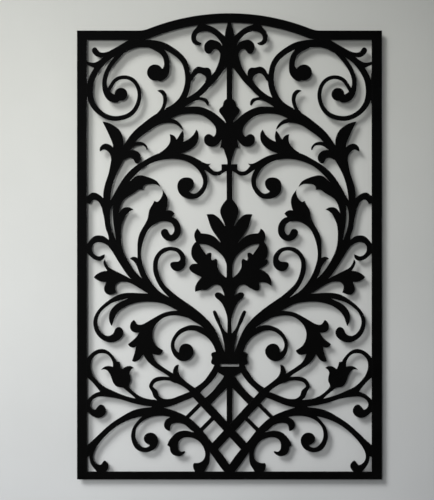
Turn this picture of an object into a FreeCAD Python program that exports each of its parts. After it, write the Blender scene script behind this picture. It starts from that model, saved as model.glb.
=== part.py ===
import FreeCAD
import Part
import math
import os

vec = FreeCAD.Vector

# Sizes of the whole cover, in millimetres. Heights are above its bottom edge.
panel_width = 610.0
crown_height = 932.6
arch_rise = 34.6
arch_half_width = 181.0
arch_ease_radius = 50.0

# Flat bar frame
stile_width = 20.0
top_rail_width = 18.0
bottom_rail_width = 15.0
frame_depth = 6.0

# Scrollwork, cut from plate and welded edge to edge, flush with the front of the frame
scroll_thickness = 4.0
rod_width = 11.5
rod_collar_width = 32.0
rod_collar_height = 11.0
lattice_bar_width = 17.0
slat_width = 8.0

# Hidden hangers, wall screws and bumpers
wall_gap = 10.0
hanger_drop = 108.0
screw_neck_diameter = 3.6
screw_thread_diameter = 4.5
screw_head_diameter = 9.0
screw_head_height = 3.0
screw_depth_in_wall = 40.0
hanger_length = 60.0
hanger_wall = 2.0
lift_travel = 12.0
running_clearance = 0.3
entry_clearance = 0.6
bumper_diameter = 16.0
bumper_taper = 2.0
bumper_height = 60.0

# Places that follow from the sizes
shoulder_height = crown_height - arch_rise
screw_height = shoulder_height - hanger_drop
front_y = -wall_gap - frame_depth
frame_back_y = -wall_gap
half_width = panel_width / 2
opening_half = half_width - stile_width
stile_centre = half_width - stile_width / 2
mirror_axis = vec(1, 0, 0)


def crown_arc(half, rise, ease):
    """Radius of the crown's arc, and how far from the centre line it meets the easing arc."""
    spread = (rise**2 + half**2) / (2 * rise)
    radius = spread - ease
    return radius, radius * half / spread


def arch_edge(u, half, shoulder, crown, ease):
    """Height of an arched edge at the distance u from the centre line: crown, easing, then shoulder."""
    crown_radius, meeting = crown_arc(half, crown - shoulder, ease)
    if u >= half:
        return shoulder
    if u > meeting:
        return shoulder + ease - math.sqrt(ease**2 - (half - u) ** 2)
    return crown - crown_radius + math.sqrt(crown_radius**2 - u**2)


def rail_edge(u, drop):
    """Height of the top rail's outer edge, or of the line that runs the distance drop inside it."""
    return arch_edge(u, arch_half_width, shoulder_height - drop, crown_height - drop,
                     arch_ease_radius + drop)


# The sheet on which the scrollwork is drawn: an opening with a flat floor and an arched top.
# A point is (u, z): u to the left of the centre line, z above the bottom edge of the cover.
# The sheet's own outline runs up the side, in along the shoulder and over to the crown.
sheet = [(285, 15), (285, 879), (183, 879), (0, 913)]
sheet_half, sheet_floor = sheet[0]
sheet_arch_half, sheet_shoulder = sheet[2]
sheet_crown = sheet[3][1]
sheet_scale = opening_half / sheet_half


def place(u, z):
    """The point of the cover's front face where the sheet's point lies, following the frame's opening."""
    x = u * sheet_scale
    ease = (arch_ease_radius + top_rail_width) / sheet_scale
    drawn_top = arch_edge(abs(u), sheet_arch_half, sheet_shoulder, sheet_crown, ease)
    stretch = (rail_edge(abs(x), top_rail_width) - bottom_rail_width) / (drawn_top - sheet_floor)
    return vec(-x, front_y, bottom_rail_width + (z - sheet_floor) * stretch)


def curve(points):
    """A straight edge between two points, or a smooth edge through more."""
    if len(points) == 2:
        return Part.LineSegment(points[0], points[1]).toShape()
    spline = Part.BSplineCurve()
    spline.interpolate(points)
    return spline.toShape()


def outline(start, runs):
    """Edges of an outline. Each run starts where the one before ends, and ends at a corner."""
    edges = []
    for run in runs:
        edges.append(curve([place(*point) for point in [start] + run]))
        start = run[-1]
    return edges


def face_of(edges):
    return Part.Face(Part.Wire(Part.__sortEdges__(edges)))


def plate(*runs):
    """A flat piece with a closed outline."""
    return face_of(outline(runs[-1][-1], runs))


def mirrored(shape):
    return shape.mirror(vec(0, 0, 0), mirror_axis)


def twin_plate(top, *runs):
    """A flat piece that is the same on both sides of the centre line, from its top to its bottom."""
    edges = outline(top, runs)
    return face_of(edges + [mirrored(edge) for edge in edges])


def strip(stations):
    """A flat bar bent along (u, z, width) stations, square at its root and round at its end."""
    points = [place(u, z) for u, z, width in stations]
    lengths = [0.0]
    for before, after in zip(points, points[1:]):
        lengths.append(lengths[-1] + before.distanceToPoint(after))
    line = Part.BSplineCurve()
    line.interpolate(Points=points, Parameters=lengths)
    sides = ([], [])
    samples = []
    for index in range(len(stations) - 1):
        samples.append((lengths[index], stations[index][2]))
        middle_width = (stations[index][2] + stations[index + 1][2]) / 2
        samples.append(((lengths[index] + lengths[index + 1]) / 2, middle_width))
    samples.append((lengths[-1], stations[-1][2]))
    for along, width in samples:
        tangent = line.tangent(along)[0]
        across = vec(tangent.z, 0, -tangent.x) * (width * sheet_scale / 2)
        sides[0].append(line.value(along) + across)
        sides[1].append(line.value(along) - across)
    edges = [curve(sides[0]), curve(sides[1]), curve([sides[0][0], sides[1][0]])]
    tip = points[-1] + line.tangent(lengths[-1])[0] * (stations[-1][2] * sheet_scale / 2)
    edges.append(Part.Arc(sides[0][-1], tip, sides[1][-1]).toShape())
    return face_of(edges)


def disc(u, z, radius):
    return Part.Face(Part.Wire(Part.Circle(place(u, z), vec(0, 1, 0), radius * sheet_scale).toShape()))


def polygon(points):
    """A flat piece with straight edges, given by points of the cover's front face."""
    corners = [vec(x, front_y, z) for x, z in points]
    return Part.Face(Part.makePolygon(corners + corners[:1]))


def largest(shape):
    return max(shape.Faces, key=lambda face: face.Area)


def facing_front(face):
    return face if face.normalAt(0, 0).y < 0 else face.reversed()


def joined(*faces):
    """One flat piece from faces that overlap."""
    fronts = [facing_front(face) for face in faces]
    return largest(fronts[0].multiFuse(fronts[1:]).removeSplitter())


def trimmed(face, neighbours):
    """The face without what its neighbours already cover, so that the pieces meet edge to edge."""
    near = [other for other in neighbours if other.BoundBox.intersect(face.BoundBox)]
    if not near:
        return face
    return largest(face.cut(near))


# Frame: two stiles, a straight bottom rail and an arched top rail, mitred at the corners
def stile():
    outer_top = (-half_width, shoulder_height)
    inner_top = (-opening_half, shoulder_height - top_rail_width)
    return polygon([(-half_width, 0), outer_top, inner_top, (-opening_half, bottom_rail_width)])


def bottom_rail():
    inner = [(opening_half, bottom_rail_width), (-opening_half, bottom_rail_width)]
    return polygon([(-half_width, 0), (half_width, 0)] + inner)


def arch_line(end, drop):
    """Edges of the arched line from one side to the other, the distance drop inside the outer edge."""
    meeting = crown_arc(arch_half_width, arch_rise, arch_ease_radius + drop)[1]
    middle = (meeting + arch_half_width) / 2

    def point(u):
        return vec(u, front_y, rail_edge(abs(u), drop))

    edges = [Part.Arc(point(-meeting), point(0), point(meeting)).toShape()]
    for side in (-1, 1):
        easing = [point(side * u) for u in (arch_half_width, middle, meeting)]
        edges.append(Part.Arc(*easing).toShape())
        edges.append(curve([point(side * end), easing[0]]))
    return edges


def top_rail():
    outer = arch_line(half_width, 0)
    inner = arch_line(opening_half, top_rail_width)
    mitre = curve([vec(-half_width, front_y, shoulder_height),
                   vec(-opening_half, front_y, shoulder_height - top_rail_width)])
    return face_of(outer + inner + [mitre, mirrored(mitre)])


# Pieces on the centre line, from the top down
def finial_spear():
    return twin_plate((0, 920), [(4, 920)], [(4, 913), (6, 903), (9.4, 885.4)],
                      [(15, 867.8)], [(18.6, 850.8)], [(10, 833), (5.5, 822)], [(0, 822)])


def rod(width, top, bottom):
    """A straight bar of the given width on the centre line, between two heights of the sheet."""
    upper = place(0, top).z
    lower = place(0, bottom).z
    return polygon([(-width / 2, lower), (width / 2, lower), (width / 2, upper), (-width / 2, upper)])


def knop():
    return twin_plate((0, 760), [(5, 760)], [(11, 755), (13, 749), (14, 745)],
                      [(19, 741), (21, 737), (19.6, 733), (11, 721), (7, 711.5)], [(0, 711.5)])


def crown_calyx():
    return twin_plate((0, 711.5), [(7, 711.5)], [(8, 698), (15.4, 679.4)], [(16.6, 674), (19, 661.6)],
                      [(14, 662.6), (10, 655), (5, 639), (4.8, 622)], [(0, 622)])


def rod_collar():
    middle = place(0, 624).z
    half = rod_collar_width / 2
    low = middle - rod_collar_height / 2
    high = middle + rod_collar_height / 2
    return polygon([(-half, low), (half, low), (half, high), (-half, high)])


def bud():
    return twin_plate((0, 560), [(5, 560)], [(11, 553), (16, 545), (18.6, 537), (17, 527), (11, 513),
                                             (9, 505.4)], [(5.4, 500)], [(0, 500)])


def stem_calyx():
    hook = [(14, 370), (19, 373), (23, 373.6), (27, 372.6), (29.4, 369.4), (29, 366), (20, 357),
            (10, 341), (4.6, 323), (4, 307), (4.5, 292), (4.5, 250)]
    return twin_plate((0, 372), [(4, 372)], [(10.6, 367)], hook, [(0, 250)])


def bouquet_collar():
    return twin_plate((0, 254.8), [(27, 254.8)], [(33, 253.6), (36.4, 251), (35, 243), (37, 234),
                                                  (30.6, 228.6)], [(19, 230.6)], [(0, 230.6)])


def strap_yoke():
    return twin_plate((0, 225.4), [(19, 225.4)], [(23, 213.6)], [(11, 206.6)], [(4, 188)], [(0, 188)])


# Top corners: a ring that winds into a spiral, and what grows from it
def corner_scroll():
    ring = [(126, 736, 13), (107, 747, 12.6), (94, 761, 12.4), (86, 779, 12.2), (83, 795, 12),
            (84.4, 815, 11.2), (90, 833, 11.2), (101, 847, 11.6), (117, 859, 12), (135, 868, 13),
            (155, 871.4, 15), (173, 872, 15), (193, 870.4, 17.6), (211, 861.2, 16), (230.4, 851, 10.6),
            (249.4, 837.6, 10.2), (262, 824.6, 12), (269, 814, 12), (275, 802, 12.4), (279, 785, 13),
            (278.4, 765, 12.4), (274.4, 752, 11.6), (259, 733, 10)]
    spiral = [(235, 722, 9.6), (215, 723, 9.2), (201, 728.4, 9), (191, 737, 8.6), (184, 749, 8.2),
              (180, 766, 8), (184.4, 787, 8), (192, 797, 7.8), (211, 804, 7.2), (229, 797.4, 7.2),
              (236, 788, 7), (243, 776, 6.8)]
    return strip(ring + spiral)


def corner_branch():
    arm = strip([(206, 864, 9), (225, 844, 9), (237, 829, 9), (245.6, 813, 8.8), (249.6, 799, 9),
                 (249.6, 785, 10), (246, 774, 13), (239, 765, 16), (227, 761.4, 16)])
    return joined(arm, disc(217, 769.8, 12.8))


def corner_comma():
    arm = strip([(165, 872, 12), (143, 861.4, 12), (132, 852, 11), (126, 839, 11.2), (125, 827, 12),
                 (129, 814, 17), (139, 806, 19)])
    return joined(arm, disc(149, 813.8, 16))


def corner_tendril():
    return plate([(219, 868), (235, 859), (245, 854.4), (253, 853), (260, 854.4), (264, 859),
                  (268, 863.2), (273, 862), (275.4, 857), (273, 851.5), (263, 844.4), (258, 843.6),
                  (251, 845.8)], [(263, 836), (271, 833), (279, 833.6), (289, 837)], [(289, 830.4)],
                 [(279, 826.4), (271, 823), (262, 822)], [(230, 848)], [(195, 872)], [(195, 882)])


# Upper vine: the stalk beside the stile, rising to the finial
def upper_vine():
    rising = [(249, 590), (241, 615), (236, 640), (226, 658), (212.4, 668), (205, 678), (189, 698),
              (169, 715), (147, 731), (130.4, 739), (112, 749), (91, 760), (79, 766), (60, 780),
              (47, 795), (36.4, 806.4), (31, 813), (25, 824), (21, 835), (18.6, 851)]
    falling = [(17, 810), (29, 794.4), (40, 783.4), (53, 770), (60, 764.4), (75, 754), (90, 744),
               (103, 733), (117, 721.4)]
    leaf_back = [(97, 701.4), (103, 707), (111, 711.4), (119, 713), (129, 712.6), (147, 707),
                 (159, 699), (179, 684), (188, 674)]
    return plate(rising, [(4, 846)], [(4, 823.4)], [(5.4, 823.4)], falling,
                 [(109, 719), (103, 715), (98, 710), (93.2, 699)], leaf_back, [(201, 658)],
                 [(206, 648), (219, 625), (229, 604), (236, 579), (238.4, 557)], [(252.4, 561.6)])


def vine_tendril():
    return plate([(141, 778.6), (135, 779), (130, 776), (126, 770), (124.6, 763), (127, 747),
                  (130.4, 739)], [(136, 730)], [(147, 730)], [(138, 740)], [(134, 749), (132.6, 757),
                                                                            (135, 769), (139, 773.6),
                                                                            (144.4, 777)])


def vine_curl():
    return plate([(53, 762.6), (47, 761), (42.4, 756), (41, 751), (42.4, 747)], [(44, 747)], [(47, 751),
                                                                                              (51, 755.4),
                                                                                              (57, 757.6),
                                                                                              (63, 757.8),
                                                                                              (69, 756.4),
                                                                                              (79, 751.4),
                                                                                              (90, 744)],
                 [(92, 750)], [(70, 764)], [(60, 764.4)])


def bud_loop():
    return plate([(75, 813), (71, 819.4), (66, 823.4), (61, 824.6), (55, 823.4), (49, 822.4),
                  (44, 822.6), (40, 820.6), (37, 816), (36, 809), (36.4, 806.4)], [(38, 798)],
                 [(47, 790)], [(49, 795)], [(47, 800), (48.4, 805), (53, 809), (61, 811.4), (69, 806),
                                            (73, 799)], [(78, 795)], [(84, 808)], [(78, 808)])


def crown_scroll():
    upper = [(83, 744.6), (67, 745), (59, 744.4), (49, 741.4), (29, 731), (17, 721), (6.6, 711.4)]
    eye = [(26, 667.4), (33, 665), (41, 665.6), (47, 669), (50.4, 674), (51, 680), (49, 686),
           (41, 689.8), (35, 687), (32, 684.6)]
    inner = [(27.4, 691), (27, 697), (29, 705), (35, 713), (49, 724.4), (59, 728.6), (69, 730.4),
             (79, 731), (89, 730.4), (99, 729), (109, 725.4), (117, 721.4)]
    return plate(upper, [(3, 705)], [(12, 679.4)], [(15.4, 679.4)], [(21, 672)] + eye, inner,
                 [(116, 728)], [(100, 742)], [(90, 744)])


def finial_curl():
    inner = [(19, 876), (25, 883.4), (31, 889), (39, 893.6), (47, 895.8), (53, 895.4), (60, 893),
             (65, 888), (66.6, 882), (65, 877), (60, 873.4), (55.6, 872)]
    outer = [(58, 869), (63, 867.6), (69, 869), (74, 873), (76.4, 879), (76.4, 887), (73, 895),
             (68, 901), (63, 907.4)]
    top = [(39, 906), (31, 902.4), (23, 897), (16, 891), (9.4, 885.4)]
    return plate(inner, outer, [(60, 916)], [(50, 918)], [(47, 908.6)], top, [(5, 878)], [(12, 864)],
                 [(15, 867.8)])


def finial_comma():
    return plate([(19, 872), (25, 875.6), (33, 878), (37, 878.4), (44, 875.4), (49, 870), (50.6, 863),
                  (49, 856), (45, 851.4), (41, 850.6), (37, 852), (33, 857), (29, 860), (25, 859.2),
                  (21, 855.4), (18.6, 850.8)], [(14, 850)], [(12, 864.6)], [(15.4, 865.9)])


# Leaves and curls of the stalk
def tall_leaf():
    return plate([(250, 707), (245, 697), (237, 679), (234, 671), (233, 663)], [(228, 652)],
                 [(212, 660)], [(212.4, 668)], [(213, 683), (216, 691), (221, 699), (229, 705.6),
                                                (239, 711.4), (249, 714.4), (254, 715)])


def outer_curl():
    return plate([(236, 666.6), (242, 670), (248, 671.2), (254, 669), (258, 665), (259.4, 655.6)],
                 [(255, 658), (250, 659.2), (246, 657.4), (241, 653), (238, 647), (237, 639)],
                 [(232, 636)], [(226, 662)], [(233, 663)])


def inner_curl():
    return plate([(187, 657), (181, 653), (177, 646), (177, 640), (180, 634.4), (185, 631.4),
                  (188, 632.4), (191, 637.4), (194, 641), (199, 643), (204, 642), (209, 639)],
                 [(216, 640)], [(208, 656)], [(201, 657.6)])


def stalk_tendril():
    return plate([(177, 674.6), (171, 672.4), (166, 668), (163.6, 663), (164.4, 658.4)], [(166, 659)],
                 [(168.4, 664), (172, 667.2), (177, 668), (183, 667.6), (189, 665.6), (196, 660.6),
                  (201, 658)], [(206, 662)], [(196, 676)], [(188, 674)])


def stile_hook():
    return plate([(257, 566.4), (263, 570.6), (269, 573), (275, 573), (280, 570), (289, 564)],
                 [(289, 552)], [(285, 552), (279, 550.4)], [(277, 554.4), (274, 558), (271, 559),
                                                            (266, 557.8), (261, 553.4), (255, 541)],
                 [(249, 541)], [(246, 562)], [(252.4, 561.6)])


# Main vine: from the stalk down to the collar that gathers the bouquet
def main_vine():
    outer = [(255, 541), (251, 523), (247.4, 501), (241.8, 478.2), (243, 468), (239, 461.6), (227, 443),
             (215, 424), (198.4, 401.8), (180, 386), (163, 372), (135, 355), (104, 337.6), (77, 319),
             (50.4, 301), (38, 281), (27, 254)]
    inner = [(20, 281), (31, 303), (49, 324), (67, 339.6), (79, 348.4), (103, 365)]
    upper = [(147, 380), (174.2, 401), (190, 417), (203, 437), (212, 456), (216.4, 477)]
    slit = [(231, 487), (237, 507), (238.6, 529), (237.4, 539), (233.2, 548.6)]
    return plate(outer, [(10, 254)], inner, [(119.6, 363)], upper, [(227.4, 477.8)], slit,
                 [(238.4, 557)], [(252.4, 561.6)])


def mid_vine():
    upper = [(229, 574), (218, 593), (203, 613), (185, 628.4), (169, 638.4), (147, 650.2), (125, 655),
             (97, 651.6), (79, 647), (59, 637), (45, 630.6), (37.4, 631)]
    outer = [(48, 614), (44.6, 606), (43.4, 597), (44.4, 588), (49, 577), (57, 567), (65, 562),
             (75, 560.4), (85, 561.4), (93, 565), (99, 570), (104.4, 585), (103, 593), (99, 599),
             (93, 602.4), (85, 603.4), (77, 601.6), (72.4, 597), (71, 591), (73, 584), (81, 576)]
    inner = [(76, 572), (71, 571), (66, 572.4), (60, 578), (55, 585), (53, 593), (53.6, 600),
             (56.4, 608), (61, 616), (67, 623), (75, 629.4), (85, 635), (95, 638.4), (107, 640.6),
             (119, 641), (133, 639.4), (145, 636.4), (169, 625.6), (189, 608), (201.6, 594)]
    return plate(upper, [(41.4, 626.2)], [(51, 619.4)], outer, inner, [(214, 570), (221, 545),
                                                                       (221, 520), (216.4, 477)],
                 [(216.4, 473)], [(226.6, 473)], [(226.6, 477.4)], [(230, 496), (233, 519),
                                                                    (233.2, 548.6)], [(238.4, 557)])


def drape():
    return plate([(37, 621), (31, 616), (25, 615), (20, 616), (14, 620)], [(3, 620)], [(3, 616.6)],
                 [(13, 612), (19, 608), (26, 606.6), (33, 607.8), (45, 615.4), (50.6, 619)],
                 [(50, 628)], [(41.4, 626.2)])


def trident_leaf():
    return plate([(131, 659), (124, 666), (120, 672), (118.6, 679), (119.6, 689.8)], [(115, 689),
                                                                                      (110, 686),
                                                                                      (106, 679)],
                 [(103, 683), (99, 690), (93, 697)], [(91.4, 691), (91, 683), (92.6, 675)], [(87, 677),
                                                                                             (81, 680.4),
                                                                                             (75, 685.4),
                                                                                             (70, 692),
                                                                                             (66.4, 699)],
                 [(61.6, 689), (61.6, 683), (63, 676), (67, 669), (73, 663), (79, 659), (97, 651.6)],
                 [(115, 645)], [(139, 650)], [(139, 654)])


def acanthus_leaf():
    return plate([(195, 600), (189, 605), (177, 608), (169, 606.4), (151, 600), (145, 596), (141, 591),
                  (138.4, 584.2)], [(142, 587.6), (147, 590), (155, 591), (163, 590.4), (169, 589),
                                    (172.4, 585), (172.6, 579)], [(179, 579.4), (184, 578), (188, 575),
                                                                  (199, 568), (207, 563), (213, 557),
                                                                  (217, 549), (222, 531.6)],
                 [(227, 540)], [(212, 592)], [(201.6, 594)])


def thorn_leaf():
    return plate([(218, 537), (213, 542), (207, 544), (201, 543.8), (192.4, 539)], [(203, 533),
                                                                                    (207, 528),
                                                                                    (211, 520),
                                                                                    (214.4, 511),
                                                                                    (217, 491),
                                                                                    (216.4, 477)],
                 [(224, 480)], [(226, 530)], [(222, 531.6)])


def stile_curl():
    return plate([(253, 440), (258, 437), (265, 437.6), (271, 440), (277, 444.4), (289, 457)],
                 [(289, 466)], [(281, 476), (276, 482), (269, 486.6), (261, 487.8), (253, 486.4),
                                (247, 483), (241.6, 478)], [(236, 473)], [(238, 464)], [(245, 468)],
                 [(251, 471.8), (259, 474), (265, 473.6), (271, 471), (274.4, 466), (275, 461),
                  (273.8, 455), (270, 449.6), (265, 446.6), (260, 446), (255, 448), (249.6, 449.6)],
                 [(250, 444.4)])


def trefoil():
    return plate([(252, 435), (251.6, 430), (249, 424), (244.6, 417)], [(253, 416), (261, 413),
                                                                        (267, 409), (271.4, 404.4)],
                 [(269, 401.4), (263, 397.6), (257, 395.4), (247, 395)], [(248, 391), (250.4, 385),
                                                                          (251, 380), (249.4, 375),
                                                                          (246, 371), (241, 369),
                                                                          (235, 369.8), (226, 373.6)],
                 [(228.6, 382), (228.4, 387), (226, 391), (221, 394.4), (213, 395.2), (205, 394.6),
                  (191, 388.6), (175, 379), (163, 372)], [(158, 376)], [(192, 406)], [(199, 401.4)],
                 [(213, 409), (233, 419), (240, 423), (245, 429), (249, 439.4)])


def acanthus_scroll():
    outside = [(184.2, 465), (181.6, 486), (179, 493), (170, 509), (163, 525), (160.6, 538), (154, 550),
               (150.6, 557)]
    frond = [(128, 571), (124.4, 564), (123, 557), (123.4, 550), (127, 537.6)]
    volute = [(105, 519), (101, 513.6), (98, 507), (97, 499), (98, 491), (102, 484), (108, 479),
              (116, 476.4), (123, 477), (129, 479.6), (134, 485), (137, 491), (137, 495.6),
              (134, 499.6), (129, 501), (125, 499.6), (122, 495), (117, 488.4)]
    inside = [(113, 491.6), (110.6, 497), (111, 504), (114, 509.6), (119, 514), (126, 516),
              (133, 516.4), (141, 515), (149, 511), (157, 505.6), (168, 489), (175, 467), (176.6, 447),
              (172, 425), (161, 401), (147, 382.4), (119.6, 363)]
    return plate(outside, [(145, 555)], [(141, 557.6), (137, 563), (134.4, 569), (133.4, 575),
                                         (135, 580.4)], frond, [(116, 537), (110, 531)],
                 [(115.6, 524.4)], volute, inside, [(120, 355)], [(172, 391)], [(174.2, 401)],
                 [(182, 417), (190, 434), (199, 440.6)], [(196, 443.8), (192, 445), (184.2, 442)])


def crook_scroll():
    outside = [(127, 370), (135, 379), (143, 391), (149, 404), (152.6, 417), (153, 429), (151.6, 439),
               (147, 449), (140, 457.4), (131, 463), (121, 465), (111, 464.4), (101, 461), (93, 454),
               (88, 445), (87, 435), (89, 426), (94, 420), (101, 416.6), (107, 416.2), (113, 419),
               (117, 424), (118.6, 429), (117.6, 432.4), (114, 434.6), (104, 435.4), (99, 438.4)]
    inside = [(98.6, 443), (101, 449), (106, 454.4), (113, 457), (121, 457), (129, 454), (137, 448),
              (142, 439), (143.6, 427), (142, 416), (138.4, 404), (132, 392), (123, 382), (113, 373),
              (103, 365)]
    return plate(outside, inside, [(100, 355)], [(118, 355)], [(119.6, 363)])


def reed_scroll():
    outer = [(185, 372.6), (209, 372.4), (219, 370.4), (229, 366), (249, 352.4), (259, 343),
             (265, 335.4), (271.6, 321), (271.8, 305), (264, 288), (257, 281), (249, 276.4),
             (239, 273.8), (231, 274.6), (223, 277.8), (216.4, 283.4), (212.4, 291), (213, 297.4),
             (216.4, 302.4), (221, 304.6), (226, 303), (229.6, 298.6), (232, 293), (237, 288.4),
             (243, 286.8), (249, 288), (256, 293.4), (261, 301), (264, 310), (264, 319), (261.6, 327),
             (257, 335), (250, 342), (241, 349), (231, 354.4), (221, 357.6), (203.6, 362)]
    blade_back = [(211, 358), (221, 353.6), (229, 348), (235, 341.6), (239, 335), (241, 327),
                  (239.6, 314), (235.4, 306.6)]
    blade = [(233, 314), (230, 323), (221, 336), (213, 342.4), (203, 348), (191, 352), (179, 354.4),
             (165, 355.4), (153, 355), (139, 353), (127, 349.4), (117, 344.4), (104, 337.6)]
    return plate(outer, blade_back, blade, [(102, 343)], [(160, 378)], [(163, 371.8)])


def bellflower():
    upper = [(115, 336.6), (125, 335), (135, 331.6), (147, 325.4), (163, 316), (171, 311.4), (179, 309),
             (184, 309.8), (187, 313), (191, 318.6)]
    side_petal = [(195, 316), (198, 311), (199, 305), (197.4, 299), (193, 295), (187, 293.4),
                  (181, 293.6)]
    stem = [(166, 239), (159, 231.4), (145, 221), (135, 215), (120, 204.4), (109, 194), (99, 189),
            (89, 183), (79.6, 175)]
    horn = [(83, 192.4), (91, 199), (97, 205), (100.4, 211), (102, 217), (101.4, 228.6)]
    near_petal = [(149, 239), (152, 246), (154, 251.6)]
    bell = [(139, 261.6), (145, 266), (150, 273), (153, 281), (154, 289), (152.6, 299), (147, 309.8),
            (139, 318), (129, 324.4), (119, 327), (105, 327.6), (91, 325), (79, 321), (67, 314),
            (50.4, 301)]
    return plate(upper, side_petal, [(184, 288), (190, 281), (203, 270.6)], [(201, 267), (196, 263.8),
                                                                             (186.6, 266)],
                 [(188.4, 259), (191, 249), (195, 237.4)], [(192, 235.2), (187, 235.4), (181, 239),
                                                            (177, 244), (172.6, 250)], stem,
                 [(66, 170)], [(60, 176)], [(69.8, 183)], horn, [(104, 229), (108, 227), (111, 223),
                                                                 (113.4, 211.6)], [(121, 216.4),
                                                                                   (137, 227),
                                                                                   (145, 233.6)]
                 + near_petal, [(145, 249), (139, 249.8), (135, 253), (133, 258)], bell, [(46, 306)],
                 [(98, 343)], [(104, 337.4)])


def snail_scroll():
    outer = [(59, 306), (69, 308), (79, 308), (89, 305), (99, 300.4), (107, 293), (113, 284),
             (117, 274), (117.4, 264), (115, 255), (110, 246), (103, 239.6), (95, 236.6), (87, 237),
             (79, 241), (73.4, 248), (71.4, 256), (73, 262), (77, 267.4), (83, 270.6), (90, 271),
             (95, 269), (99, 264.4), (101, 253.4)]
    inner = [(105, 256), (108.4, 261), (110, 267), (109, 275), (105, 283), (99, 289.4), (91, 294.6),
             (81, 297.4), (71, 297.2), (59, 292.6), (49, 287), (41, 280), (35, 272), (30, 263),
             (27, 253)]
    return plate(outer, inner, [(22, 253)], [(46, 305)], [(50.4, 301)])


# Palmette under the bud, and the two blades that rise from the collar
left_lobes = [[(61, 498), (64, 501.6)], [(67, 498), (70.6, 487), (69.4, 481), (67, 475)],
              [(73, 468), (76.6, 453), (75.4, 445), (71, 438), (64, 431)],
              [(69, 431), (75, 430), (79, 426.4), (80.6, 423), (79.4, 419), (75, 414), (56, 404)],
              [(62, 397), (66, 391), (68.4, 374.4)], [(64, 376.4), (59, 377.4), (45, 379)]]
right_lobes = [[(61, 497), (62.4, 501.2)], [(68.3, 496.5), (72, 487), (71.6, 481), (69.5, 475.4)],
               [(73, 470), (77, 455), (75.4, 445.4), (71.6, 439)], [(75.4, 439.4), (77, 436),
                                                                    (75.4, 431.2), (70.6, 426.6),
                                                                    (59.8, 419.8)], [(66, 418.2),
                                                                                     (73, 413.6),
                                                                                     (78.8, 407.8),
                                                                                     (83, 399.4),
                                                                                     (83.6, 386.8)],
               [(79.4, 389.4), (74.2, 392.4), (68.2, 393.8), (59, 393)], [(60.4, 386), (58.2, 378.2),
                                                                          (54.8, 377.2), (45, 381)]]


def palmette_leaf(lobes):
    top_leaf = [(15, 514.4), (19, 520), (25, 525.4), (31, 529), (37, 530), (46, 529.2)]
    top_back = [(43, 521), (40, 511), (37, 503), (33, 495.4), (27, 487), (17.6, 473.4)]
    shoulder = [(23, 478), (29, 484), (35, 487.4), (43, 490), (57, 491.6)]
    base = [(39, 383.4), (35, 386.4), (31, 388.6), (26, 389), (21, 387.8), (16, 383), (10.6, 367)]
    leaf = plate([(9, 505.4)], top_leaf, top_back, shoulder, *lobes, base, [(3, 367)], [(3, 505.4)])
    hole = plate([(51, 470), (43, 468), (35, 464), (27, 458.6), (19, 451.8), (13, 445), (8.6, 437),
                  (5.4, 425)], [(5, 411)], [(6.4, 403)], [(15, 410), (21, 417.6), (24, 426),
                                                          (24.2, 436), (27, 441)], [(34, 437.6)],
                 [(36, 447), (37, 452.6), (40, 453), (46.4, 448.4)], [(52, 456.6), (57, 464),
                                                                      (59.6, 470.4)])
    return largest(leaf.cut(hole))


def sprout_blade():
    return plate([(30, 324), (20, 303), (13, 281), (9.2, 250)], [(2, 250)], [(2, 292.4)],
                 [(4.6, 292.4)], [(8.4, 296), (18, 315), (26.6, 335), (29, 337.4), (32, 336.6),
                                  (33, 333)])


# Foot of the panel: tulip, hoop and the vine that runs along the bottom
def low_vine():
    upper = [(240, 172), (220, 167), (203, 163), (187.4, 160.5), (169, 159), (147, 158)]
    lower = [(175, 148.4), (189, 151.4), (205, 156), (219, 160.4), (235, 163.6), (249, 165.4),
             (259, 165.6), (267, 163.4), (273, 159.4), (277, 154), (278, 149), (276.4, 144),
             (273, 140.4), (269, 139)]
    eye = [(263, 146.4), (259, 149.2), (254, 148.6), (249, 144), (247, 138), (248, 132), (252, 127),
           (259, 123.6), (265, 123), (271, 125), (277, 128.6), (289, 139)]
    return plate(upper, [(139, 165)], [(133, 161.4), (125, 160.4), (115, 161.6), (105, 165), (95, 169),
                                       (79.6, 175)], [(66, 170)], [(73, 163.8)], [(89, 157.6),
                                                                                  (109, 149.6),
                                                                                  (131, 144)],
                 [(131, 138)], [(156, 138)], [(156, 146.4)], lower, eye, [(289, 155)], [(277, 166.6),
                                                                                        (271, 171),
                                                                                        (265, 173.6),
                                                                                        (258, 175.5)])


def tulip():
    right = [(198.4, 217), (199.8, 213), (199, 208), (197.6, 202), (198, 196), (201, 187), (199.6, 183),
             (194.4, 177.4), (187, 171), (179, 166), (169, 162), (159, 160), (147, 159)]
    left = [(199, 172), (209, 180), (213, 183), (224, 185), (229, 188.4), (235, 199), (240, 212),
            (246, 218.6), (257, 218.6)]
    return plate([(219.6, 234.6)], [(218, 228), (215, 220)], [(211, 223), (205, 226), (200, 226.6),
                                                              (192, 222.4)], right, [(150, 152)],
                 [(187.4, 155)], [(187.4, 161.4)], left, [(254, 222.4), (249, 225.4), (243, 226.6),
                                                          (233.4, 224.6)], [(225.4, 235.4)])


def hoop():
    outer = [(279, 249.4), (271, 256), (263, 259.6), (257, 260.6), (249, 259.4), (241, 255),
             (235, 249.4), (229, 242), (225.2, 235.4)]
    inner = [(233.4, 232), (236, 240), (241, 247), (247, 251), (255, 252.2), (263, 251), (269, 247),
             (275, 240), (277.4, 231), (277.4, 223), (275, 214), (271, 206), (265, 198), (257, 190),
             (247, 183), (235, 177.6), (225, 173), (215, 169), (203, 165), (187.4, 161.4)]
    return plate(outer, [(224, 226)], [(233.4, 225)], inner, [(187, 156)], [(235, 165)], [(258.2, 174)],
                 [(267, 186), (277, 197), (289, 208)], [(289, 236)])


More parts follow.
